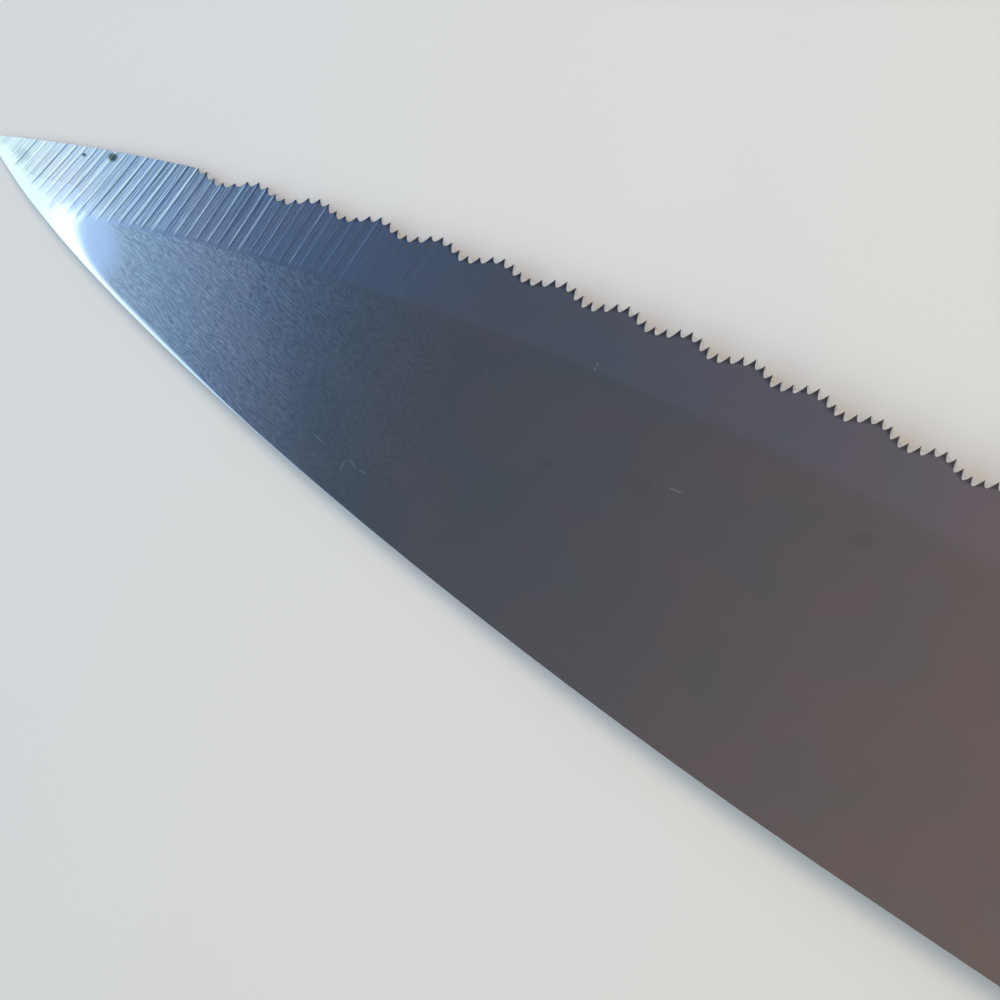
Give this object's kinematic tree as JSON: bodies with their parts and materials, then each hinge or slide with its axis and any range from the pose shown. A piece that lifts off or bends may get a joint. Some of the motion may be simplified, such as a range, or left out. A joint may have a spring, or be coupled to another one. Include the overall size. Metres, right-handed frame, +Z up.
{
  "type": "butcher knife",
  "caption": "Butcher knife lying on its side: stamped steel blade with a waved, fine-toothed edge ground on the right face, full tang, wooden scales and brass cutler's rivets.",
  "frame": {"origin": "on the surface that the knife lies on, under the middle of its box", "axes": "+X towards the tip, +Y towards the spine, +Z up through the bevelled right face, so that the knife lies on its left side"},
  "size_m": [0.332, 0.0358, 0.0186],
  "materials": {
    "blade_steel": "satin, finely brushed along the blade, ribbed on the ground bevel",
    "handle_wood": "oiled dark hardwood, smooth, grain along the handle",
    "rivet_brass": "ground flush and lightly worn"
  },
  "bodies": {
    "root": {"blade": "blade_steel", "scale_right": "handle_wood", "scale_left": "handle_wood", "rivet_front_sleeve": "rivet_brass", "rivet_front_pin": "rivet_brass", "rivet_middle_sleeve": "rivet_brass", "rivet_middle_pin": "rivet_brass", "rivet_rear_sleeve": "rivet_brass", "rivet_rear_pin": "rivet_brass"}
  },
  "joints": []
}
